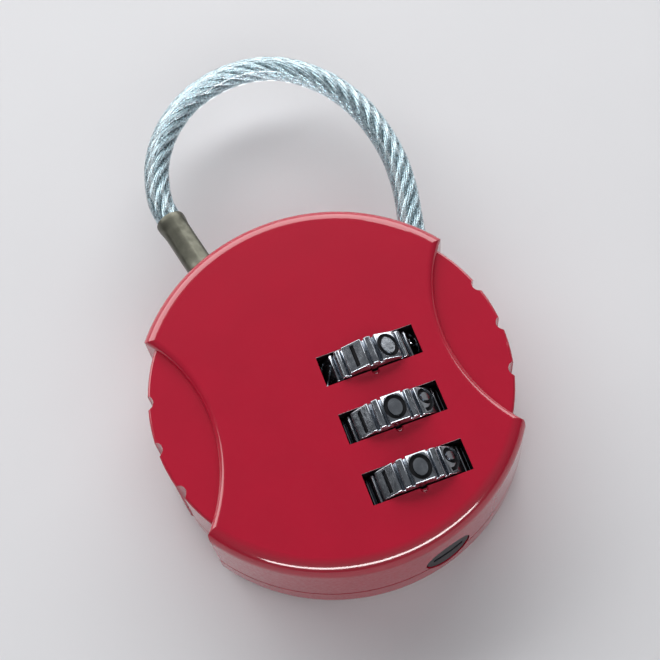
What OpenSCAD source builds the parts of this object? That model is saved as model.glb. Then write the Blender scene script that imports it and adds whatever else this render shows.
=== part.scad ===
// Round three-dial combination padlock with a looped cable shackle.
// It lies on its back: +Z is out of the dial face, +Y is towards the shackle.
// The origin is the centre of the rear face.

/* [Body] */
// Diameter of the central band across the body
band_d = 45; // [44.6:0.2:46]
// Diameter across the two recessed side lobes
lobe_d = 41.8; // [41.4:0.2:42.4]
// Thickness from the rear face to the band's front face
body_t = 12.8; // [12.8:0.1:13.4]
// How far the lobes lie below the band's front face
lobe_drop = 0.9; // [0.6:0.1:1.1]
// Height of the seam between the two covers
seam_z = 4.4; // [4.2:0.1:4.6]
// Wall thickness of both covers
wall = 1.4; // [1.3:0.1:1.5]
// Radius of the band's front edge
band_round = 1.8; // [1.2:0.1:2]

/* [Dials] */
// Outside diameter of a dial
dial_d = 13.2; // [13:0.1:13.2]
// Width of a dial along its axis
dial_w = 3.4; // [3.2:0.1:3.4]
// Distance from one dial to the next
dial_pitch = 7.46; // [7.4:0.02:7.5]
// Length of a window in the face
window_l = 11.6; // [11.4:0.1:12]
// Width of a window in the face
window_w = 3.8; // [3.8:0.1:4]
// How far the reset button goes in
reset_travel = 1.3; // [1.2:0.05:1.3]

/* [Shackle] */
// Outside diameter of the clear jacket
cable_d = 3.2; // [3:0.1:3.2]
// Diameter of the wire rope inside the jacket
rope_d = 2.5; // [2.2:0.1:2.6]
// Outside diameter of the crimped ferrule
ferrule_d = 3.8; // [3.7:0.1:3.8]

/* [Hidden] */
$fn = 64;
eps = 0.01;

// Outline: the band is the disc between two arcs, one centred on each side.
band_r = band_d / 2;
lobe_r = lobe_d / 2;
arc_x = 34.2;
arc_r = 20;
lobe_top = body_t - lobe_drop;
lobe_round = 0.4;
rear_lobe_round = 1.6;
tip_round = 0.9;
tip_overlap = 0.04;
seam_step = 0.25;
floor_t = 1.2;
ceiling_z = body_t - wall;
lobe_ceiling_z = lobe_top - wall;
notch_r = 0.9;
notch_at = 21.1;
notch_angles = [-17, -1, 14.5, 166, 182, 198];

// Dials, their clutch sleeves and the spindle share one axis along Y.
axis_x = 5.2;
axis_z = body_t - 5;
dial_r = dial_d / 2;
dial_1_y = 0.96;
dial_y = [dial_1_y, dial_1_y - dial_pitch, dial_1_y - 2 * dial_pitch];
dial_clearance = 0.05;
window_edge = 0.16;
window_edge_drop = 0.135;
dimple_r = 0.45;
dial_turn = [20.8, 2.7, 3.2];
sleeve_turn = [dial_turn[0] - 36, dial_turn[1], dial_turn[2]];
digits = 10;
key_bore_r = 3.2;
keyway_r = 3.9;
keyed_top = -0.1;
sleeve_r = 3.12;
sleeve_bore_r = 2.45;
sleeve_half = dial_pitch / 2 - 0.03;
lug_r = 3.8;
lug_low = -1.3;
flange_low = -1.3;
flange_t = 0.6;
gate_half_angle = 36;
rod_r = 1.1;
rod_hole_r = 1.2;
fin_r = 2.3;
fin_w = 0.7;
collar_r = 2;
rod_top = 11.2;
rod_bottom = -17.3;
collar_t = 0.6;
web_half = 4.7;
sleeve_foot = dial_y[2] - sleeve_half;
sleeve_webs = [
    [3.4, 4.6], [-3.9, -1.4], [-11.36, -8.86],
    [sleeve_foot + reset_travel + 0.04, dial_y[2] - dial_w / 2 - 0.04]
];
spring_web = [7.2, 8.0];

// Fasteners and the latch pivot
rivet_at = [[0.5, 18.4], [-16.6, -1], [-6, -16.6], [15.8, -5.6]];
rivet_r = 0.8;
rivet_head_r = 1.5;
rivet_head_t = 0.8;
boss_r = 1.9;
pivot = [-0.5, 12];
pivot_r = 0.9;
lever_z = [5.6, 7.4];

// Reset button
button_x = 5.8;
button_z = 5.75;
button_r = 2.7;
button_hole_r = 2.85;
button_sunk = 0.12;
plate_y = [sleeve_foot - 1.3, sleeve_foot - 0.04];

// Locking end of the cable: where its axis crosses the rim, and the way in
shackle_z = 6.4;
tip_entry = [-8.86, 20.7];
tip_in = [0.21, -0.978];
tip_angle = atan2(tip_in[1], tip_in[0]);
ferrule_out = 9.9;
ferrule_in = 2.2;
ferrule_hole_r = 2;
shank_r = 1.6;
neck_r = 1.1;
head_r = 1.55;

// Fixed end of the cable
anchor_exit = [16.4, 15.7];
anchor_in = [-0.2425, -0.9701];
anchor_angle = atan2(anchor_in[1], anchor_in[0]);
cable_hole_r = 1.7;
anchor_r = 1.94;
anchor_span = [6.5, 9.9];

// Middle of the cable, from its anchored end to its end inside the ferrule
cable_route = [
    [14.2, 6.8], [15.2, 10.9], [16.4, 15.7], [17.3, 19.7], [18.2, 23.8], [18.6, 28.4],
    [18.2, 33.3], [17, 38], [14.8, 42.3], [11.9, 45.6], [8.7, 47.8], [4.9, 48.8],
    [0.9, 48.6], [-3.1, 47.2], [-6.3, 44.8], [-8.5, 42.2], [-10.1, 39.2], [-11, 36],
    [-11.3, 33.1], [-10.94, 30.4], [-10.1, 26.5], [-9.28, 22.66]
];

// ---------- helpers ----------

// A disc with its top edge rounded
module rounded_disc(r, h, f) {
    rotate_extrude() {
        square([r - f, h]);
        square([r, h - f]);
        translate([r - f, h - f]) circle(f);
    }
}

module side_discs(r) {
    for (s = [-1, 1]) translate([s * arc_x, 0]) circle(r);
}

// The outline seen from the front, drawn in by an even distance
module body_plan(inset) {
    difference() {
        circle(band_r - inset);
        side_discs(arc_r + inset);
    }
    circle(lobe_r - inset);
}

// Rounds the four tips of the band: a wedge outside a circle a little too large to touch the two outlines
module tip_cutter() {
    mid_r = band_r - tip_round;
    x = (mid_r * mid_r - pow(arc_r + tip_round, 2) + arc_x * arc_x) / (2 * arc_x);
    y = sqrt(mid_r * mid_r - x * x);
    to_arc = [arc_x - x, -y] / norm([arc_x - x, -y]);
    outwards = [x, y] / mid_r;
    for (sx = [0, 1], sy = [0, 1])
        mirror([sx, 0, 0]) mirror([0, sy, 0]) translate([x, y, -1]) linear_extrude(body_t + 2) difference() {
            polygon([[0, 0], 3 * to_arc, 4 * (to_arc + outwards), 3 * outwards]);
            circle(tip_round + tip_overlap);
        }
}

// Removes the sides of the band and rolls its upper edges over
module band_side_cutter() {
    for (s = [-1, 1])
        translate([s * arc_x, 0, 0]) rotate_extrude() {
            translate([0, -1]) square([arc_r, body_t + 2]);
            difference() {
                translate([0, lobe_top]) square([arc_r + lobe_drop, lobe_drop + 1]);
                translate([arc_r + lobe_drop, lobe_top]) circle(lobe_drop);
            }
        }
}

module grip_notches() {
    for (a = notch_angles)
        rotate([0, 0, a]) translate([notch_at, 0, -1]) cylinder(r = notch_r, h = body_t + 2);
}

// Local +Z runs along +Y, on the dial axis
module on_axis(y, turn = 0) {
    translate([axis_x, y, axis_z]) rotate([0, turn, 0]) rotate([-90, 0, 0]) children();
}

// Local +X runs inwards along the locking tip, level with its axis
module at_tip(s) {
    translate([tip_entry[0] + s * tip_in[0], tip_entry[1] + s * tip_in[1], shackle_z])
        rotate([0, 0, tip_angle]) children();
}

// Local +X runs inwards along the anchored end of the cable
module at_anchor(s) {
    translate([anchor_exit[0] + s * anchor_in[0], anchor_exit[1] + s * anchor_in[1], shackle_z])
        rotate([0, 0, anchor_angle]) children();
}

module along_x(r, h, r2 = -1) {
    rotate([0, 90, 0]) cylinder(r1 = r, r2 = r2 < 0 ? r : r2, h = h);
}

// A box from z0 to z1 over a span in X and Y
module slab(x0, x1, y0, y1, z0, z1) {
    translate([x0, y0, z0]) cube([x1 - x0, y1 - y0, z1 - z0]);
}

module axis_bore(y0, y1, r) {
    on_axis(y0) cylinder(r = r, h = y1 - y0);
}

// ---------- covers ----------

// Channels through both covers for the cable, the locking end and the reset button
module passages() {
    at_tip(-3) along_x(ferrule_hole_r, 6);
    at_tip(2) along_x(head_r + 0.1, 8);
    at_anchor(-3) along_x(cable_hole_r, anchor_span[0] + 3);
    at_anchor(anchor_span[0] - 0.05) along_x(anchor_r + 0.06, 4);
    translate([button_x, -24, button_z]) rotate([-90, 0, 0]) cylinder(r = button_hole_r, h = 6);
}

// Ribs that hold the spindle and its sleeves, between two heights
module axis_ribs(z0, z1) {
    for (w = sleeve_webs)
        slab(axis_x - web_half, axis_x + web_half, w[0], w[1], z0, z1);
    slab(axis_x - 3.2, axis_x + 3.2, spring_web[0], spring_web[1], z0, z1);
}

// Stop for the reset button's plate
module button_rib(z0, z1) {
    slab(button_x - 3.6, button_x + 3.6, -19.8, -19.1, z0, z1);
}

// Ribs round the locking tip and the anchor sleeve
module shackle_ribs(z0, z1) {
    at_tip(8) translate([0, -2.6, z0 - shackle_z]) cube([2.8, 5.2, z1 - z0]);
    at_anchor(5.2) translate([0, -2.8, z0 - shackle_z]) cube([1.2, 5.6, z1 - z0]);
    at_anchor(anchor_span[1] + 0.1) translate([0, -2.2, z0 - shackle_z]) cube([1.2, 4.4, z1 - z0]);
}

module cut_axis_bores() {
    for (w = sleeve_webs) axis_bore(w[0] - 1, w[1] + 1, key_bore_r);
    axis_bore(spring_web[0] - 1, spring_web[1] + 1, rod_hole_r);
}

// The step in the wall where the rear cover's saddles close the round cable holes
module saddle_blocks(gap) {
    h = shackle_z - seam_z + 0.5;
    at_tip(-3) translate([0, -ferrule_hole_r - 0.8 + gap, -h])
        cube([6, 2 * (ferrule_hole_r + 0.8 - gap), h]);
    at_anchor(-3) translate([0, -cable_hole_r - 0.8 + gap, -h])
        cube([7, 2 * (cable_hole_r + 0.8 - gap), h]);
}

// One window with sloped edges, and the index dimple in its lower edge
module dial_window() {
    x = window_l / 2;
    y = window_w / 2;
    translate([-x, -y, ceiling_z - 1]) cube([window_l, window_w, 4]);
    translate([0, 0, body_t]) polyhedron(
        points = [
            for (step = [-1, 1]) let (d = step * window_edge, z = step * window_edge_drop)
                each [[-x - d, -y - d, z], [x + d, -y - d, z], [x + d, y + d, z], [-x - d, y + d, z]]
        ],
        faces = [[0, 1, 2, 3], [7, 6, 5, 4], [0, 4, 5, 1], [1, 5, 6, 2], [2, 6, 7, 3], [3, 7, 4, 0]]
    );
    translate([0, -y - window_edge, body_t]) sphere(dimple_r);
}

module front_shell() {
    difference() {
        union() {
            translate([0, 0, seam_z]) rounded_disc(lobe_r, lobe_top - seam_z, lobe_round);
            difference() {
                translate([0, 0, seam_z]) rounded_disc(band_r, body_t - seam_z, band_round);
                band_side_cutter();
                tip_cutter();
            }
        }
        grip_notches();
        translate([0, 0, seam_z - 1]) linear_extrude(lobe_ceiling_z - seam_z + 1) body_plan(wall);
        translate([0, 0, lobe_ceiling_z - 1]) linear_extrude(ceiling_z - lobe_ceiling_z + 1)
            difference() {
                circle(band_r - band_round - 1);
                side_discs(arc_r + wall);
            }
        for (y = dial_y) translate([axis_x, y + dial_clearance, 0]) dial_window();
        saddle_blocks(0);
    }
}

module front_cover() color([0.68, 0.07, 0.15]) {
    difference() {
        union() {
            front_shell();
            axis_ribs(axis_z, ceiling_z + eps);
            button_rib(seam_z, ceiling_z + eps);
            shackle_ribs(shackle_z + eps, ceiling_z + eps);
            for (p = rivet_at) translate([p[0], p[1], seam_z])
                cylinder(r = boss_r, h = ceiling_z + eps - seam_z);
            translate([pivot[0], pivot[1], lever_z[1] + 0.2]) cylinder(r = 1.7, h = 4);
        }
        passages();
        cut_axis_bores();
        for (p = rivet_at) translate([p[0], p[1], seam_z - 1]) cylinder(r = rivet_r, h = 6);
        translate([pivot[0], pivot[1], lever_z[1] - 1]) cylinder(r = pivot_r, h = 4);
    }
}

module rear_shell() {
    difference() {
        union() {
            translate([0, 0, seam_z]) mirror([0, 0, 1]) rounded_disc(lobe_r, seam_z, rear_lobe_round);
            difference() {
                translate([0, 0, seam_z]) mirror([0, 0, 1]) rounded_disc(band_r, seam_z, band_round);
                translate([0, 0, -1]) linear_extrude(seam_z + 2) side_discs(arc_r);
                tip_cutter();
            }
        }
        grip_notches();
        translate([0, 0, floor_t]) linear_extrude(seam_z) body_plan(wall);
        translate([0, 0, seam_z - seam_step]) linear_extrude(1) difference() {
            circle(band_r + 1);
            body_plan(seam_step);
        }
        for (y = dial_y)
            translate([axis_x - 3, y - window_w / 2, floor_t - 0.3]) cube([6, window_w, 1]);
    }
}

module saddles() {
    intersection() {
        saddle_blocks(0.04);
        translate([0, 0, seam_z - 0.6]) linear_extrude(shackle_z - seam_z + 1)
            difference() {
                body_plan(0);
                circle(band_r - wall - 0.3);
            }
    }
}

module rear_cover() color([0.68, 0.07, 0.15]) {
    difference() {
        union() {
            rear_shell();
            saddles();
            axis_ribs(floor_t - eps, axis_z);
            button_rib(floor_t - eps, seam_z);
            intersection() {
                shackle_ribs(floor_t - eps, shackle_z);
                cylinder(r = lobe_r - wall - 0.1, h = body_t);
            }
            for (p = rivet_at) translate([p[0], p[1], floor_t - eps])
                cylinder(r = boss_r, h = seam_z - floor_t + eps);
            translate([pivot[0], pivot[1], floor_t - eps])
                cylinder(r = 1.7, h = lever_z[0] - 0.2 - floor_t);
        }
        passages();
        cut_axis_bores();
        for (p = rivet_at) translate([p[0], p[1], -1]) {
            cylinder(r = rivet_r, h = 7);
            cylinder(r = rivet_head_r, h = 1 + rivet_head_t);
        }
        translate([pivot[0], pivot[1], floor_t + 0.6]) cylinder(r = pivot_r, h = 6);
    }
}

// ---------- fasteners ----------

module body_rivets() color([0.3, 0.3, 0.32]) {
    for (p = rivet_at) translate([p[0], p[1], 0.05]) {
        cylinder(r = rivet_head_r, h = rivet_head_t - 0.05);
        cylinder(r = rivet_r, h = seam_z + 4.6);
    }
}

module latch_pivot_pin() color("silver") {
    translate([pivot[0], pivot[1], floor_t + 0.6]) cylinder(r = pivot_r, h = 8.4);
}

// ---------- dials and clutch ----------

module dial(k) {
    on_axis(dial_y[k], dial_turn[k]) difference() {
        rotate_extrude() translate([0, -dial_w / 2]) polygon([
            [1, 0], [dial_r - 0.25, 0], [dial_r, 0.25], [dial_r, dial_w - 0.25],
            [dial_r - 0.25, dial_w], [1, dial_w]
        ]);
        translate([0, 0, -dial_w]) cylinder(r = key_bore_r, h = 2 * dial_w);
        translate([0, 0, keyed_top]) cylinder(r = keyway_r + 0.1, h = dial_w);
        for (i = [0:digits - 1]) rotate([0, 0, 360 / digits * i]) {
            translate([0, -0.55, -dial_w]) cube([keyway_r, 1.1, dial_w]);
            rotate([0, 0, 90 + 180 / digits]) translate([dial_r + 0.1, 0, -dial_w])
                cylinder(r = 0.4, h = 2 * dial_w);
        }
    }
}

module dial_1() color([0.2, 0.21, 0.22]) dial(0);
module dial_2() color([0.2, 0.21, 0.22]) dial(1);
module dial_3() color([0.2, 0.21, 0.22]) dial(2);

module clutch_sleeve(k) {
    on_axis(dial_y[k], sleeve_turn[k]) {
        difference() {
            cylinder(r = sleeve_r, h = 2 * sleeve_half, center = true);
            cylinder(r = sleeve_bore_r, h = 3 * sleeve_half, center = true);
        }
        for (i = [0:4]) rotate([0, 0, 72 * i])
            translate([sleeve_r - 0.2, -0.4, lug_low]) cube([lug_r - sleeve_r + 0.2, 0.8, 1]);
        translate([0, 0, flange_low]) linear_extrude(flange_t) difference() {
            circle(sleeve_bore_r + 0.1);
            circle(rod_hole_r);
            polygon([
                [0, 0],
                [-4 * sin(gate_half_angle), 4 * cos(gate_half_angle)],
                [4 * sin(gate_half_angle), 4 * cos(gate_half_angle)]
            ]);
        }
    }
}

module clutch_sleeve_1() color("goldenrod") clutch_sleeve(0);
module clutch_sleeve_2() color("goldenrod") clutch_sleeve(1);
module clutch_sleeve_3() color("goldenrod") clutch_sleeve(2);

// Rod with one fin above each sleeve's flange and a collar under the lever
module spindle() color("silver") {
    axis_bore(rod_bottom, rod_top, rod_r);
    axis_bore(rod_top - collar_t, rod_top, collar_r);
    for (y = dial_y) on_axis(y + flange_low + flange_t + 0.1)
        translate([-fin_w / 2, 0, 0]) cube([fin_w, fin_r, 0.6]);
}

// ---------- springs ----------

// Round wire wound about the dial axis
module coil(y0, y1, r, wire_r, turns) {
    steps = 16 * turns;
    sides = 6;
    lift = y1 - y0 - 2 * wire_r;
    pts = [
        for (i = [0:steps], j = [0:sides - 1])
            let (a = 360 * i / 16, b = 360 * j / sides, q = r + wire_r * cos(b))
                [q * cos(a), q * sin(a), wire_r + lift * i / steps + wire_r * sin(b)]
    ];
    walls = [
        for (i = [0:steps - 1], j = [0:sides - 1])
            let (n = (j + 1) % sides, p = i * sides)
                [p + j, p + sides + j, p + sides + n, p + n]
    ];
    ends = [[for (j = [0:sides - 1]) j], [for (j = [sides - 1:-1:0]) steps * sides + j]];
    on_axis(y0) polyhedron(points = pts, faces = concat(walls, ends));
}

module spindle_spring() color("silver")
    coil(spring_web[1] + 0.02, rod_top - collar_t - 0.02, 1.5, 0.16, 4);

module sleeve_return_spring() color("silver")
    coil(dial_y[0] + sleeve_half + 0.02, spring_web[0] - 0.02, 2.78, 0.18, 3);

// Comb of three leaf fingers that click against the dials
module detent_spring() color("silver") {
    x0 = axis_x - dial_r - 0.6;
    slab(x0, x0 + 0.25, dial_y[2] - 1.1, dial_y[0] + 1.1, floor_t + 0.02, 3);
    for (y = dial_y) {
        slab(x0, x0 + 0.25, y - 1.1, y + 1.1, floor_t + 0.02, 9.6);
        translate([x0 + 0.2, y - 1, axis_z]) rotate([-90, 0, 0]) cylinder(r = 0.35, h = 2);
    }
}

// ---------- reset ----------

// Its face follows the rim, with a slot for a screwdriver; the plate behind it pushes the sleeves
module reset_button() color([0.13, 0.13, 0.15]) {
    face_r = band_r - button_sunk;
    difference() {
        union() {
            intersection() {
                translate([button_x, -band_r - 1, button_z]) rotate([-90, 0, 0])
                    cylinder(r = button_r, h = band_r + 1 + plate_y[1] - 0.3);
                cylinder(r = face_r, h = body_t);
            }
            slab(axis_x - 3.4, axis_x + 3.4, plate_y[0], plate_y[1], 2.2, axis_z + 2.6);
        }
        axis_bore(-20.4, -17, 1.5);
        difference() {
            slab(button_x - 1.9, button_x + 1.9, -band_r, -18, button_z - 0.4, button_z + 0.4);
            cylinder(r = face_r - 0.5, h = body_t);
        }
    }
}

// ---------- shackle ----------

module anchor_sleeve() color([0.5, 0.47, 0.36]) at_anchor(anchor_span[0]) difference() {
    along_x(anchor_r, anchor_span[1] - anchor_span[0]);
    translate([-1, 0, 0]) along_x(cable_d / 2 + 0.02, anchor_span[1] - anchor_span[0] + 0.3);
}

module ferrule() color([0.46, 0.43, 0.33]) at_tip(-ferrule_out) difference() {
    along_x(ferrule_d / 2, ferrule_out + ferrule_in);
    translate([-1, 0, 0]) along_x(cable_d / 2 + 0.02, ferrule_out - 1.4 + 1);
    along_x(shank_r, 20);
}

// Steel stud: a shank in the ferrule, a neck for the latch and a tapered head
module locking_tip() color("silver") at_tip(0) {
    translate([-1.4, 0, 0]) along_x(shank_r, ferrule_in + 1.4);
    translate([ferrule_in, 0, 0]) along_x(shank_r, 0.4, neck_r);
    translate([ferrule_in + 0.4 - eps, 0, 0]) along_x(neck_r, 2.6 + 2 * eps);
    translate([5.2, 0, 0]) along_x(neck_r, 2.8, head_r);
    translate([8 - eps, 0, 0]) along_x(head_r, 0.8 + 2 * eps);
    translate([8.8, 0, 0]) along_x(head_r, 1, 0.7);
}

// Bell crank: its claw sits in the tip's neck and its nose pushes the spindle
module latch_lever() color([0.6, 0.6, 0.62]) difference() {
    union() {
        lever_plate() translate(pivot) circle(1.7);
        lever_plate() polygon([[-6.87, 17.14], [-6.61, 15.96], [-2, 11.3], [0.5, 13.35], [-4.6, 16.6]]);
        lever_plate() polygon([[-0.6, 13.7], [5.6, 12.9], [5.6, 11.9], [2, 11.9], [-0.3, 10.5]]);
        lever_plate() translate([axis_x, 12.1]) circle(0.8);
    }
    translate([pivot[0], pivot[1], lever_z[0] - 1]) cylinder(r = pivot_r + 0.05, h = 4);
}

module lever_plate() {
    translate([0, 0, lever_z[0]]) linear_extrude(lever_z[1] - lever_z[0]) children();
}

// Catmull-Rom point at t along the stretch that starts at point i
function clamp_at(p, i) = p[max(0, min(len(p) - 1, i))];
function smooth(p, i, t) =
    let (a = clamp_at(p, i - 1), b = clamp_at(p, i), c = clamp_at(p, i + 1), d = clamp_at(p, i + 2))
        (2 * b + (c - a) * t + (2 * a - 5 * b + 4 * c - d) * t * t + (3 * b - a - 3 * c + d) * t * t * t) / 2;
cable_mid = [
    for (i = [0:len(cable_route) - 2], t = [0, 0.5]) smooth(cable_route, i, t),
    cable_route[len(cable_route) - 1]
];

// Direction of a flat polyline at point i
function heading(p, i) = let (v = clamp_at(p, i + 1) - clamp_at(p, i - 1)) v / norm(v);

// One eight-sided ring of points round a flat polyline
function rings(p, r, z) = [
    for (i = [0:len(p) - 1], j = [0:7])
        let (h = heading(p, i), a = 45 * j)
            [p[i][0] - h[1] * r * cos(a), p[i][1] + h[0] * r * cos(a), z + r * sin(a)]
];

function ring_walls(n, first, flip) = [
    for (i = [0:n - 2], j = [0:7])
        let (k = (j + 1) % 8, a = first + i * 8, q = [a + j, a + k, a + 8 + k, a + 8 + j])
            flip ? [q[3], q[2], q[1], q[0]] : q
];

module wire_rope() color([0.72, 0.74, 0.77]) {
    n = len(cable_mid);
    polyhedron(
        points = rings(cable_mid, rope_d / 2, shackle_z),
        faces = concat(ring_walls(n, 0, true), [[for (j = [0:7]) j], [for (j = [7:-1:0]) (n - 1) * 8 + j]])
    );
}

// Clear tube round the rope: an outer and an inner skin joined at both ends
module cable_jacket() color([0.8, 0.85, 0.88, 0.5]) {
    n = len(cable_mid);
    far = (n - 1) * 8;
    mouth = [for (j = [0:7]) let (k = (j + 1) % 8) [j, k, n * 8 + k, n * 8 + j]];
    tail = [for (j = [0:7]) let (k = (j + 1) % 8) [far + k, far + j, n * 8 + far + j, n * 8 + far + k]];
    polyhedron(
        points = concat(rings(cable_mid, cable_d / 2, shackle_z), rings(cable_mid, rope_d / 2, shackle_z)),
        faces = concat(ring_walls(n, 0, true), ring_walls(n, n * 8, false), mouth, tail)
    );
}

front_cover();
rear_cover();
body_rivets();
latch_pivot_pin();
detent_spring();
anchor_sleeve();
cable_jacket();
wire_rope();
ferrule();
locking_tip();
latch_lever();
spindle();
spindle_spring();
sleeve_return_spring();
reset_button();
dial_1();
dial_2();
dial_3();
clutch_sleeve_1();
clutch_sleeve_2();
clutch_sleeve_3();
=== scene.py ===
"""Looks of the round combination padlock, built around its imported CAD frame. Metres, +Z out of the dial face."""

import math

import bmesh
import bpy
from mathutils import Matrix, Vector


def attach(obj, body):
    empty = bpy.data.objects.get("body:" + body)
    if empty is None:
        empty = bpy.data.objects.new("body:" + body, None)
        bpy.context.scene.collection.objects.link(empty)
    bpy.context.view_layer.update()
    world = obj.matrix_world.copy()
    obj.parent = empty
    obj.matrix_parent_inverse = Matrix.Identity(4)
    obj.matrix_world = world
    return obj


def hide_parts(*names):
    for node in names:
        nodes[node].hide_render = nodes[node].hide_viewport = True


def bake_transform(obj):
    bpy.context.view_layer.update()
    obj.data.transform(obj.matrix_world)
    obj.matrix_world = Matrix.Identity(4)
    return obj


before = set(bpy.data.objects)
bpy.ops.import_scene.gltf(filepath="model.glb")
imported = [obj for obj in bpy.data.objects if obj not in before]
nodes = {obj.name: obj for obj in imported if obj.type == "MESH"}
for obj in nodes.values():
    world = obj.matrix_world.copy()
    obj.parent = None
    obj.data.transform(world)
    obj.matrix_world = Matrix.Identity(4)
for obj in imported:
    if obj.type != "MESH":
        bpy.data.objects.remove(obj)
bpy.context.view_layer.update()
MM = 0.001

# The dials' axis and the first dial's middle, the pitch of the dials and the height of the shackle, in millimetres
DIAL_X, DIAL_1_Y, DIAL_Z = 5.2, 0.96, 7.8
DIAL_PITCH = 7.46
SHACKLE_Z = 6.4


# ---------- small helpers ----------


def mm(*values):
    """A vector given in millimetres, in metres."""
    return Vector(values) * MM


def arc(cx, cy, rx, ry, first, last, steps=14):
    """Points along an elliptical arc, with its angles in degrees."""
    turns = (math.radians(first + (last - first) * i / steps) for i in range(steps + 1))
    return [(cx + rx * math.cos(a), cy + ry * math.sin(a)) for a in turns]


def new_object(name, mesh, *finishes):
    """An object in the scene with the mesh and its materials."""
    piece = bpy.data.objects.new(name, mesh)
    bpy.context.scene.collection.objects.link(piece)
    for finish in finishes:
        mesh.materials.append(finish)
    return piece


def mesh_of(name, points, faces, smooth=True):
    """A mesh with its faces turned outwards."""
    mesh = bpy.data.meshes.new(name)
    mesh.from_pydata([tuple(p) for p in points], [], faces)
    mesh.validate()
    bm = bmesh.new()
    bm.from_mesh(mesh)
    bmesh.ops.recalc_face_normals(bm, faces=bm.faces)
    bm.to_mesh(mesh)
    bm.free()
    for face in mesh.polygons:
        face.use_smooth = smooth
    return mesh


def joined_rings(rings, closed=False):
    """Points and faces of a surface through rings of the same number of points, capped unless it closes on itself."""
    count, sides = len(rings), len(rings[0])
    points = [p for ring in rings for p in ring]
    faces = []
    for i in range(count if closed else count - 1):
        a, b = i * sides, (i + 1) % count * sides
        faces += [(a + j, a + (j + 1) % sides, b + (j + 1) % sides, b + j) for j in range(sides)]
    if not closed:
        faces += [tuple(range(sides))[::-1], tuple(range((count - 1) * sides, count * sides))]
    return points, faces


def add_part(whole, part):
    """Adds one part's points and faces to a growing (points, faces) pair."""
    base = len(whole[0])
    whole[0].extend(part[0])
    whole[1].extend(tuple(base + i for i in face) for face in part[1])


def apply_modifiers(piece):
    """Bakes a piece's modifiers into its mesh."""
    bpy.context.view_layer.update()
    done = bpy.data.meshes.new_from_object(piece.evaluated_get(bpy.context.evaluated_depsgraph_get()))
    piece.modifiers.clear()
    piece.data = done


def sharpen(piece, degrees):
    """Smooth faces with hard edges above an angle."""
    bm = bmesh.new()
    bm.from_mesh(piece.data)
    for face in bm.faces:
        face.smooth = True
    for edge in bm.edges:
        edge.smooth = len(edge.link_faces) == 2 and edge.calc_face_angle(0) < math.radians(degrees)
    bm.to_mesh(piece.data)
    bm.free()


# ---------- materials ----------


def material(name, **sockets):
    """A Principled material with its plain sockets set. Returns the material, its node tree and the shader."""
    made = bpy.data.materials.new(name)
    made.use_nodes = True
    tree = made.node_tree
    shader = tree.nodes["Principled BSDF"]
    for socket, value in sockets.items():
        shader.inputs[socket.replace("_", " ")].default_value = value
    return made, tree, shader


def noise(tree, scale, detail=4.0):
    """A noise in object space: scale is features per metre."""
    place = tree.nodes.new("ShaderNodeTexCoord")
    texture = tree.nodes.new("ShaderNodeTexNoise")
    texture.inputs["Scale"].default_value = scale
    texture.inputs["Detail"].default_value = detail
    texture.inputs["Roughness"].default_value = 0.55
    tree.links.new(place.outputs["Object"], texture.inputs["Vector"])
    return texture.outputs["Fac"]


def remap(tree, value, low, high, to_low, to_high):
    """Takes low to high onto to_low to to_high, and holds the ends."""
    node = tree.nodes.new("ShaderNodeMapRange")
    for socket, number in zip(("From Min", "From Max", "To Min", "To Max"), (low, high, to_low, to_high)):
        node.inputs[socket].default_value = number
    tree.links.new(value, node.inputs["Value"])
    return node.outputs["Result"]


def two_tone(tree, shader, value, dark, light):
    """Colours the shader between two colours. Returns the colour too."""
    ramp = tree.nodes.new("ShaderNodeValToRGB")
    ramp.color_ramp.elements[0].color = (*dark, 1)
    ramp.color_ramp.elements[1].color = (*light, 1)
    tree.links.new(value, ramp.inputs["Fac"])
    tree.links.new(ramp.outputs["Color"], shader.inputs["Base Color"])
    return ramp.outputs["Color"]


def bumped(tree, shader, value, height, strength):
    """Raises the shader's surface by up to a height in metres."""
    bump = tree.nodes.new("ShaderNodeBump")
    bump.inputs["Distance"].default_value = height
    bump.inputs["Strength"].default_value = strength
    tree.links.new(value, bump.inputs["Height"])
    tree.links.new(bump.outputs["Normal"], shader.inputs["Normal"])


def calc(tree, operation, first, second):
    """A math node between a socket and a socket or number."""
    node = tree.nodes.new("ShaderNodeMath")
    node.operation = operation
    tree.links.new(first, node.inputs[0])
    if isinstance(second, (int, float)):
        node.inputs[1].default_value = second
    else:
        tree.links.new(second, node.inputs[1])
    return node.outputs["Value"]


def coordinates(tree):
    """x, y and z in object space, in metres."""
    place = tree.nodes.new("ShaderNodeTexCoord")
    split = tree.nodes.new("ShaderNodeSeparateXYZ")
    tree.links.new(place.outputs["Object"], split.inputs["Vector"])
    return [split.outputs[axis] for axis in "XYZ"]


def within(tree, value, reach):
    """1 where a length lies less than a reach in millimetres from 0."""
    return calc(tree, "LESS_THAN", calc(tree, "ABSOLUTE", value, 0), reach * MM)


def from_row(tree, y, row_y):
    """The distance along y from a row and from its copies at the dials' pitch."""
    return calc(tree, "PINGPONG", calc(tree, "SUBTRACT", y, row_y * MM), DIAL_PITCH / 2 * MM)


def masked(tree, value, tests):
    """The value where all tests are 1, and 0 elsewhere."""
    for test in tests:
        value = calc(tree, "MULTIPLY", value, test)
    return value


# Along y, in millimetres: the first window's middle, half of its width and its sloped upper edge's distance
WINDOW_1_Y, WINDOW_HALF, WINDOW_EDGE = 1.01, 1.95, 1.98
# How far the inside that the windows show reaches in x and y, and where it starts in z
INSIDE_X, INSIDE_Y, INSIDE_Z = 12, 16.2, 1.5
# Where it ends in z: at the ceiling, and at the foot of a window's sloped edge. The slope ends just under the face.
CEILING_Z, SLOPE_FOOT_Z, SLOPE_TOP_Z = 12.3, 12.66, 12.79


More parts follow.
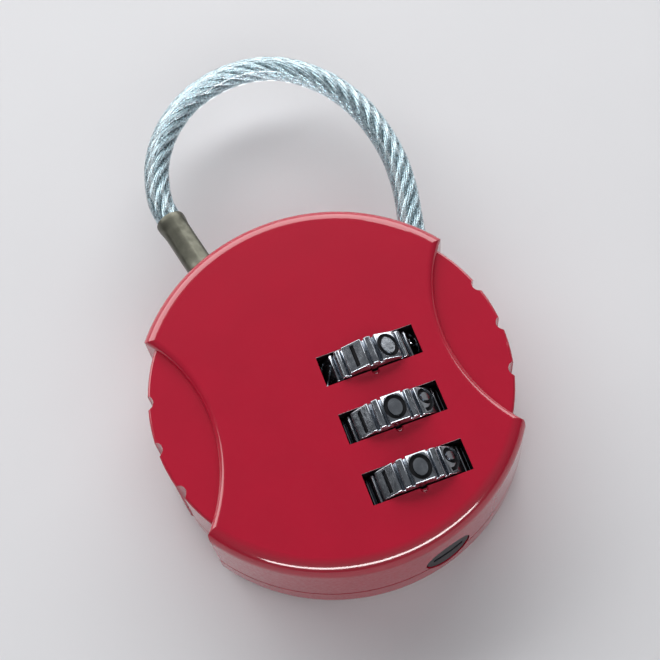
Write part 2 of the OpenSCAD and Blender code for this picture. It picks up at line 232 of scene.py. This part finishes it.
def outer_enamel_vs_painted_shade(tree):
    """0 on the bare walls inside the covers, seen through the dial windows, which are coloured near-black as painted
    shade, and 1 on every outer face.
    """
    x, y, z = coordinates(tree)
    in_window = calc(tree, "LESS_THAN", from_row(tree, y, WINDOW_1_Y), WINDOW_HALF * MM)
    painted_shade_below = remap(tree, in_window, 0, 1, CEILING_Z * MM, SLOPE_FOOT_Z * MM)
    inside = masked(tree, within(tree, x, INSIDE_X), [
        within(tree, y, INSIDE_Y),
        calc(tree, "GREATER_THAN", z, INSIDE_Z * MM),
        calc(tree, "LESS_THAN", z, painted_shade_below),
    ])
    return remap(tree, inside, 0, 1, 1, 0)


def painted_window_edge_highlight(tree):
    """Up to 1 in patches along the sloped upper edge of each dial window, where a pale painted highlight is laid on
    the enamel.
    """
    x, y, z = coordinates(tree)
    edge_width, window_reach = 0.1, 6
    return masked(tree, remap(tree, noise(tree, 900, detail=2), 0.3, 0.5, 0.5, 1), [
        calc(tree, "LESS_THAN", from_row(tree, y, WINDOW_1_Y + WINDOW_EDGE), edge_width * MM),
        within(tree, calc(tree, "SUBTRACT", x, DIAL_X * MM), window_reach),
        within(tree, y, INSIDE_Y),
        calc(tree, "GREATER_THAN", z, SLOPE_FOOT_Z * MM),
        calc(tree, "LESS_THAN", z, SLOPE_TOP_Z * MM),
    ])


def enamel_and_painted_light():
    """Gloss enamel with faint orange peel over die-cast zinc, bare inside, where the casting is coloured near-black
    as painted shade; a pale painted highlight runs along the windows' upper edges.
    """
    made, tree, shader = material("red_enamel_painted_light", Specular_IOR_Level=0.1, Coat_Roughness=0.1, Coat_IOR=1.6)
    tone = remap(tree, noise(tree, 160, detail=3), 0.3, 0.7, 0.94, 1)
    # 0 inside the covers, where the bare casting is coloured near-black as painted shade.
    painted = outer_enamel_vs_painted_shade(tree)
    # The ramp's near-black end is painted shade on the bare casting inside the covers.
    red = two_tone(tree, shader, calc(tree, "MULTIPLY", tone, painted), (0.008, 0.004, 0.006), (0.44, 0.003, 0.026))
    # Mixes a painted highlight over the red along the windows' upper edges.
    edges = tree.nodes.new("ShaderNodeMix")
    edges.data_type = "RGBA"
    factor, first, second, result = edges.inputs[0], edges.inputs[6], edges.inputs[7], edges.outputs[2]
    tree.links.new(painted_window_edge_highlight(tree), factor)
    tree.links.new(red, first)
    # The pale pink of the painted highlight.
    second.default_value = (0.95, 0.74, 0.78, 1)
    tree.links.new(result, shader.inputs["Base Color"])
    tree.links.new(painted, shader.inputs["Coat Weight"])
    tree.links.new(remap(tree, noise(tree, 2600, detail=2), 0.35, 0.75, 0.3, 0.42), shader.inputs["Roughness"])
    bumped(tree, shader, noise(tree, 900, detail=1.5), 0.00002, 0.05)
    return made


def worn_metal(name, dark, light, low, high, grain=1500, height=0.00001):
    """Bare or plated metal: its colour, its roughness from low to high and its relief vary with a fine grain."""
    made, tree, shader = material(name, Metallic=1.0)
    two_tone(tree, shader, remap(tree, noise(tree, grain * 0.35), 0.3, 0.7, 0, 1), dark, light)
    fine = noise(tree, grain)
    tree.links.new(remap(tree, fine, 0.3, 0.7, low, high), shader.inputs["Roughness"])
    bumped(tree, shader, fine, height, 0.5)
    return made


def digit_recess():
    """The dull black left in the engraved digits."""
    made, tree, shader = material("digit_recess", Roughness=0.6, Specular_IOR_Level=0.15)
    two_tone(tree, shader, noise(tree, 3000), (0.002, 0.002, 0.003), (0.006, 0.006, 0.008))
    return made


def dark_plastic():
    """Gritty moulded plastic."""
    made, tree, shader = material("button_plastic", Roughness=0.45, Specular_IOR_Level=0.5)
    grit = noise(tree, 3500, detail=3)
    two_tone(tree, shader, grit, (0.006, 0.006, 0.009), (0.022, 0.022, 0.028))
    bumped(tree, shader, grit, 0.00004, 0.8)
    return made


def clear_vinyl():
    """Slightly blue, slightly hazy soft vinyl."""
    made, tree, shader = material(
        "clear_vinyl", Roughness=0.06, IOR=1.45, Transmission_Weight=1.0, Base_Color=(0.9, 0.965, 0.985, 1)
    )
    bumped(tree, shader, noise(tree, 700, detail=2), 0.00003, 0.3)
    return made


RED = enamel_and_painted_light()
STEEL = worn_metal("turned_steel", (0.42, 0.43, 0.44), (0.6, 0.6, 0.61), 0.25, 0.45)
SPRING = worn_metal("spring_steel", (0.45, 0.46, 0.48), (0.62, 0.63, 0.65), 0.2, 0.35)
BRASS = worn_metal("sleeve_brass", (0.55, 0.38, 0.14), (0.72, 0.52, 0.22), 0.28, 0.45)
WIRE = worn_metal("galvanised_wire", (0.52, 0.62, 0.66), (0.66, 0.76, 0.8), 0.2, 0.34, grain=2600)
NICKEL = worn_metal("black_nickel", (0.32, 0.345, 0.38), (0.49, 0.52, 0.56), 0.14, 0.24, grain=1800)
CRIMP = worn_metal("crimped_metal", (0.09, 0.09, 0.072), (0.15, 0.148, 0.12), 0.34, 0.52, grain=1300, height=0.00003)
RIVET = worn_metal("rivet_steel", (0.3, 0.3, 0.31), (0.45, 0.45, 0.46), 0.3, 0.5)
RECESS = digit_recess()
BLACK = dark_plastic()
VINYL = clear_vinyl()


# ---------- camera ----------


def make_camera():
    """A long lens, turned so that the lock leans to the left as it does in the hand-held view."""
    data = bpy.data.cameras.new("camera")
    data.sensor_width = 36
    data.lens = 70.9
    data.clip_start = 0.01
    camera = bpy.data.objects.new("camera", data)
    bpy.context.scene.collection.objects.link(camera)
    eye = mm(-10.92, -57.86, 147.05)
    looked_at = mm(2.11, 5.6, 12.8)
    lean = math.radians(9.05)
    camera.matrix_world = (
        Matrix.Translation(eye)
        @ (looked_at - eye).to_track_quat("-Z", "Y").to_matrix().to_4x4()
        @ Matrix.Rotation(-lean, 4, "Z")
    )
    bpy.context.scene.camera = camera


make_camera()


# ---------- the cable ----------

# The cable's middle, from its anchored end inside the body to its end inside the ferrule
ROUTE = [
    (14.2, 6.8), (15.2, 10.9), (16.4, 15.7), (17.3, 19.7), (18.2, 23.8), (18.6, 28.4),
    (18.2, 33.3), (17, 38), (14.8, 42.3), (11.9, 45.6), (8.7, 47.8), (4.9, 48.8),
    (0.9, 48.6), (-3.1, 47.2), (-6.3, 44.8), (-8.5, 42.2), (-10.1, 39.2), (-11, 36),
    (-11.3, 33.1), (-10.94, 30.4), (-10.1, 26.5), (-9.28, 22.66),
]
CABLE_R = 1.6
RING_STEP = 0.5


def smooth_route(route, step):
    """Points about step apart on the Catmull-Rom curve through the route, in millimetres."""
    line = []
    for i in range(len(route) - 1):
        a, b, c, d = (Vector(route[max(0, min(len(route) - 1, i + k))]) for k in (-1, 0, 1, 2))
        pieces = max(1, round((c - b).length / step))
        for j in range(pieces):
            t = j / pieces
            line.append(
                (2 * b + (c - a) * t + (2 * a - 5 * b + 4 * c - d) * t**2 + (3 * b - a - 3 * c + d) * t**3) / 2
            )
    return line + [Vector(route[-1])]


LINE = smooth_route(ROUTE, RING_STEP)


def side_of(line, i):
    """The unit vector across a flat line, in its plane."""
    v = line[min(i + 1, len(line) - 1)] - line[max(i - 1, 0)]
    return Vector((-v.y, v.x)).normalized()


def lengths(line):
    """How far along the line each of its points lies."""
    total, out = 0.0, [0.0]
    for a, b in zip(line, line[1:]):
        total += (b - a).length
        out.append(total)
    return out


ALONG = lengths(LINE)


def at_cable(i, across, up):
    """A point beside the cable's middle at ring i, in metres."""
    p = LINE[i] + side_of(LINE, i) * across
    return mm(p.x, p.y, SHACKLE_Z + up)


def cable_ring(i, radius, sides):
    """A circle round the cable's middle at ring i, in metres."""
    turns = [2 * math.pi * j / sides for j in range(sides)]
    return [at_cable(i, radius * math.cos(a), radius * math.sin(a)) for a in turns]


def wire_rope():
    """Six strands of six wires laid round a core, right-handed, the wires twisted back the other way."""
    strands, wires, sides = 6, 6, 6
    strand_r, wire_at, wire_r, core_r = 0.74, 0.245, 0.13, 0.5
    lay, twist = 14.0, -8.0
    whole = ([], [])
    for s in range(strands):
        for w in range(wires):
            rings = []
            for i, along in enumerate(ALONG):
                a = 2 * math.pi * (s / strands + along / lay)
                b = 2 * math.pi * (w / wires + along / twist) + a
                u = strand_r * math.cos(a) + wire_at * math.cos(b)
                v = strand_r * math.sin(a) + wire_at * math.sin(b)
                turns = [2 * math.pi * j / sides for j in range(sides)]
                rings.append([at_cable(i, u + wire_r * math.cos(t), v + wire_r * math.sin(t)) for t in turns])
            add_part(whole, joined_rings(rings))
    add_part(whole, joined_rings([cable_ring(i, core_r, 12) for i in range(len(LINE))]))
    return new_object("rope_strands", mesh_of("rope_strands", *whole), WIRE)


def jacket():
    """Vinyl moulded right round the strands, so it has no inner skin."""
    points, faces = joined_rings([cable_ring(i, CABLE_R, 40) for i in range(len(LINE))])
    return new_object("clear_jacket", mesh_of("clear_jacket", points, faces), VINYL)


def make_cable():
    rope, tube = wire_rope(), jacket()
    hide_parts("wire_rope")
    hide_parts("cable_jacket")
    for piece in (rope, tube):
        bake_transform(piece)
    return rope, tube


# ---------- ferrule ----------

TIP_ENTRY = Vector((-8.86, 20.7))
TIP_IN = Vector((0.21, -0.978)).normalized()


def at_tip(s, across, up):
    """A point s millimetres inwards along the locking end, in metres."""
    p = TIP_ENTRY + TIP_IN * s + Vector((-TIP_IN.y, TIP_IN.x)) * across
    return mm(p.x, p.y, SHACKLE_Z + up)


def ferrule():
    """A tube squeezed to six flats over its middle and left round and slightly belled at its mouth."""
    sides, flats = 72, 6
    bore_r = 1.6
    # Place along the tip, radius and how flat it is squeezed
    stations = [
        (-9.9, 1.87, 0.0), (-9.8, 1.9, 0.0), (-9.2, 1.89, 0.0), (-8.6, 1.84, 0.35), (-7.9, 1.8, 0.9),
        (-5.2, 1.8, 1.0), (-2.6, 1.8, 0.95), (-1.9, 1.82, 0.5), (-1.3, 1.87, 0.0), (2.0, 1.87, 0.0), (2.2, 1.8, 0.0),
    ]

    def ring(s, radius, squeeze):
        out = []
        for j in range(sides):
            a = 2 * math.pi * j / sides
            off = (a * flats / (2 * math.pi) + 0.5) % 1 - 0.5
            flat = math.cos(math.pi / flats) / math.cos(off * 2 * math.pi / flats) * 1.07
            r = radius * (1 + squeeze * (min(flat, 1.0) - 1))
            out.append(at_tip(s, r * math.cos(a), r * math.sin(a)))
        return out

    outer = [ring(*station) for station in stations]
    bore = [ring(2.2, bore_r, 0), ring(-9.75, bore_r, 0), ring(-9.9, bore_r + 0.12, 0)]
    points, faces = joined_rings(outer + bore, closed=True)
    piece = new_object("crimped_ferrule", mesh_of("crimped_ferrule", points, faces), CRIMP)
    sharpen(piece, 40)
    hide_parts("ferrule")
    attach(piece, "cable_end")
    return piece


rope, tube = make_cable()
sleeve_piece = ferrule()


# ---------- dials ----------

DIAL_CENTRES = [Vector((DIAL_X, DIAL_1_Y - DIAL_PITCH * k, DIAL_Z)) for k in range(3)]
# How far each dial is turned from its digit 0 straight up
DIAL_TURNS = [20.8, 2.7, 3.2]
DIGIT_STEP = 36.0
PAD_R = 6.46
PAD_HALF = 10.6
DIAL_HALF_W = 1.7
# Radius at angles from a pad's middle to the middle of the rib between two pads
RIM_PROFILE = [
    (0, PAD_R), (3.5, PAD_R / math.cos(math.radians(3.5))), (7, PAD_R / math.cos(math.radians(7))),
    (PAD_HALF - 0.8, 6.55), (PAD_HALF, 6.5), (PAD_HALF + 0.5, 6.38), (PAD_HALF + 0.9, 6.0),
    (12.6, 5.9), (13.6, 5.95), (14.0, 6.3), (14.6, 6.42), (15.8, 6.5), (18, 6.53),
]


def rim_rows():
    """(angle, radius) all round, from the half profile of one digit's sector."""
    half = RIM_PROFILE
    sector = [(-a, r) for a, r in half[:0:-1]] + half[:-1]
    return [(DIGIT_STEP * k + a, r) for k in range(10) for a, r in sector]


def spoke(angle, radius, y):
    """A point on a dial that has its digit 0 straight up, in metres."""
    a = math.radians(angle)
    return mm(radius * math.sin(a), y, radius * math.cos(a))


def dial_blank():
    """A dial without its digits: pads, the ribs and grooves between them, and a plain bore."""
    edge, bore, w = 0.13, 4.3, DIAL_HALF_W
    rows = rim_rows()
    low = [(-w, -edge), (-w + edge / 3, -edge / 3), (-w + edge, 0)]
    section = low + [(-y, drop) for y, drop in low[::-1]]
    rings = [[spoke(a, bore, -w) for a, r in rows]]
    rings += [[spoke(a, r + drop, y) for a, r in rows] for y, drop in section]
    rings += [[spoke(a, bore, w) for a, r in rows]]
    return mesh_of("dial_blank", *joined_rings(rings, closed=True))


def line_strokes():
    """Centrelines of the digits 0 to 9, in millimetres, about the middle of a pad."""
    h = 1.25
    loop = arc(0, -0.5, 0.86, 0.75, 0, 360, 20)
    stem = [(0.62, 1.2), (0.1, 1.06), (-0.44, 0.62), (-0.76, 0.06), (-0.86, -0.5)]
    nine = [[(-x, -y) for x, y in loop], [(-x, -y) for x, y in stem]]
    return {
        0: [arc(0, 0, 1.02, h, 0, 360, 32)],
        1: [[(0, -h), (0, h)]],
        2: [arc(0, 0.55, 0.86, 0.7, 165, -38, 14) + [(-0.88, -h), (0.92, -h)]],
        3: [arc(0, 0.62, 0.8, 0.63, 160, -90, 14) + arc(0, -0.62, 0.88, 0.63, 90, -160, 14)[1:]],
        4: [[(0.38, -h), (0.38, h), (-0.94, -0.5), (0.94, -0.5)]],
        5: [[(0.78, h), (-0.66, h), (-0.74, 0.17)] + arc(-0.02, -0.47, 0.88, 0.78, 128, -155, 14)],
        6: [loop, stem],
        7: [[(-0.9, h), (0.9, h), (-0.26, -h)]],
        8: [arc(0, 0.64, 0.72, 0.6, 0, 360, 20), arc(0, -0.6, 0.88, 0.65, 0, 360, 20)],
        9: nine,
    }


def digit_cutter():
    """Ribbons along the digits' strokes, wider at the top than at their floor."""
    top, floor = 0.3, -0.24
    top_w, floor_w = 0.31, 0.165
    whole = ([], [])
    for digit, strokes in line_strokes().items():
        angle = -DIGIT_STEP * digit
        for stroke in strokes:
            points = [Vector(p) for p in stroke]
            closed = (points[0] - points[-1]).length < 1e-6
            if closed:
                points.pop()
            rings = []
            for i, p in enumerate(points):
                before = points[i - 1] if i or closed else None
                after = points[(i + 1) % len(points)] if i < len(points) - 1 or closed else None
                ways = [(b - a).normalized() for a, b in ((before, p), (p, after)) if a and b]
                way = sum(ways, Vector((0, 0))).normalized()
                across = Vector((-way.y, way.x))
                # A bend keeps the stroke's width, and a free end runs on a little.
                widen = 1 / max(0.45, across.dot(Vector((-ways[0].y, ways[0].x))))
                end = way * (-0.1 if before is None else 0.1 if after is None else 0)
                ring = []
                for half, rise in ((top_w, top), (-top_w, top), (-floor_w, floor), (floor_w, floor)):
                    q = p + end + across * half * widen
                    a = math.radians(angle)
                    ring.append(
                        spoke(angle, PAD_R + rise, q.y) + Vector((math.cos(a), 0, -math.sin(a))) * q.x * MM
                    )
                rings.append(ring)
            add_part(whole, joined_rings(rings, closed=closed))
    mesh = mesh_of("digit_cutter", *whole, smooth=False)
    for face in mesh.polygons:
        out = Vector((face.center.x, 0, face.center.z))
        face.material_index = 0 if out.length < (PAD_R + floor / 2) * MM else 1
    return mesh


def engraved_dial():
    """One dial mesh about its own centre, with the ten digits cut into its pads."""
    blank = new_object("dial_blank", dial_blank(), NICKEL)
    cutter = new_object("digit_cutter", digit_cutter(), RECESS, NICKEL)
    cut = blank.modifiers.new("digits", "BOOLEAN")
    cut.object = cutter
    cut.operation = "DIFFERENCE"
    cut.solver = "EXACT"
    cut.use_self = True
    cut.material_mode = "TRANSFER"
    apply_modifiers(blank)
    bpy.data.objects.remove(cutter)
    sharpen(blank, 42)
    blank.modifiers.new("flat pads", "WEIGHTED_NORMAL").keep_sharp = True
    apply_modifiers(blank)
    return blank


def make_dials():
    pattern = engraved_dial()
    for k, (centre, turn) in enumerate(zip(DIAL_CENTRES, DIAL_TURNS), 1):
        piece = bpy.data.objects.new(f"numbered_dial_{k}", pattern.data.copy())
        bpy.context.scene.collection.objects.link(piece)
        piece.data.transform(Matrix.Translation(centre * MM) @ Matrix.Rotation(math.radians(turn), 4, "Y"))
        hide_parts(f"dial_{k}")
        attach(piece, f"dial_{k}")
    bpy.data.objects.remove(pattern)


make_dials()


# ---------- springs ----------


def coil_spring(node, y0, y1, radius, wire, turns):
    """Round wire wound about the dial axis between two heights, in millimetres."""
    axis = DIAL_CENTRES[0]
    per_turn, sides = 28, 10
    steps = per_turn * turns
    lift = y1 - y0 - 2 * wire
    rings = []
    for i in range(steps + 1):
        a = 2 * math.pi * i / per_turn
        turn = [2 * math.pi * j / sides for j in range(sides)]
        rings.append([
            mm(
                axis.x + (radius + wire * math.cos(b)) * math.cos(a),
                y0 + wire + lift * i / steps + wire * math.sin(b),
                axis.z - (radius + wire * math.cos(b)) * math.sin(a),
            )
            for b in turn
        ])
    piece = new_object(f"{node}_coil", mesh_of(f"{node}_coil", *joined_rings(rings)), SPRING)
    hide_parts(node)
    return piece


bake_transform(coil_spring("spindle_spring", 8.02, 10.58, 1.5, 0.16, 4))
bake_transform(coil_spring("sleeve_return_spring", 4.68, 7.18, 2.78, 0.18, 3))


# ---------- CAD pieces that keep their shape ----------

KEPT = {
    "front_cover": RED,
    "rear_cover": RED,
    "body_rivets": RIVET,
    "latch_pivot_pin": STEEL,
    "detent_spring": SPRING,
    "anchor_sleeve": CRIMP,
    "locking_tip": STEEL,
    "latch_lever": STEEL,
    "spindle": STEEL,
    "reset_button": BLACK,
    "clutch_sleeve_1": BRASS,
    "clutch_sleeve_2": BRASS,
    "clutch_sleeve_3": BRASS,
}
for name, finish in KEPT.items():
    nodes[name].data.materials.clear()
    nodes[name].data.materials.append(finish)


# ---------- floor and light ----------


def area_light(name, place, target, width, depth, power):
    """A white rectangular lamp that faces a target. Returns the lamp."""
    data = bpy.data.lights.new(name, "AREA")
    data.shape = "RECTANGLE"
    data.size, data.size_y = width, depth
    data.energy = power
    lamp = bpy.data.objects.new(name, data)
    bpy.context.scene.collection.objects.link(lamp)
    lamp.matrix_world = Matrix.Translation(place) @ (target - place).to_track_quat("-Z", "Y").to_matrix().to_4x4()
    return lamp


def front_lit_room():
    """The world of a dim room, brighter overhead and towards -Y."""
    world = bpy.data.worlds.new("studio")
    world.use_nodes = True
    tree = world.node_tree
    place = tree.nodes.new("ShaderNodeTexCoord")
    split = tree.nodes.new("ShaderNodeSeparateXYZ")
    tree.links.new(place.outputs["Generated"], split.inputs["Vector"])
    front = remap(tree, split.outputs["Y"], -0.2, 0.25, 0.32, 0.17)
    height = remap(tree, split.outputs["Z"], 0.2, 0.8, 0.35, 1)
    sky = tree.nodes["Background"]
    sky.inputs["Color"].default_value = (0.93, 0.95, 1, 1)
    tree.links.new(calc(tree, "MULTIPLY", front, height), sky.inputs["Strength"])
    return world


def make_studio():
    """A pale floor, the room and four lamps. The strip only shows in reflections, and the fill never does."""
    made, tree, shader = material("pale_floor", Roughness=0.85, Specular_IOR_Level=0.1)
    two_tone(tree, shader, noise(tree, 40), (0.7, 0.7, 0.715), (0.73, 0.73, 0.745))
    size, gap = 1.2, 0.0001
    corners = [(size * x, size * y, -gap) for x, y in ((-1, -1), (1, -1), (1, 1), (-1, 1))]
    floor = new_object("floor", mesh_of("floor", corners, [(0, 1, 2, 3)], smooth=False), made)
    bpy.context.scene.world = front_lit_room()
    bpy.context.scene.view_settings.view_transform = "Standard"
    middle = Vector((0, 0, 0.008))
    strip = area_light("front_strip", Vector((-0.03, -0.43, 0.27)), middle, 0.9, 0.1, 4.4)
    strip.visible_diffuse = False
    fill = area_light("front_fill", Vector((-0.03, -0.4, 0.34)), middle, 0.9, 0.3, 1.0)
    fill.visible_glossy = False
    area_light("back_light", Vector((0, 0.56, 0.34)), middle, 1.6, 0.5, 9.8)
    area_light("side_fill", Vector((0.5, 0.25, 0.08)), middle, 0.3, 0.14, 0.04)


make_studio()
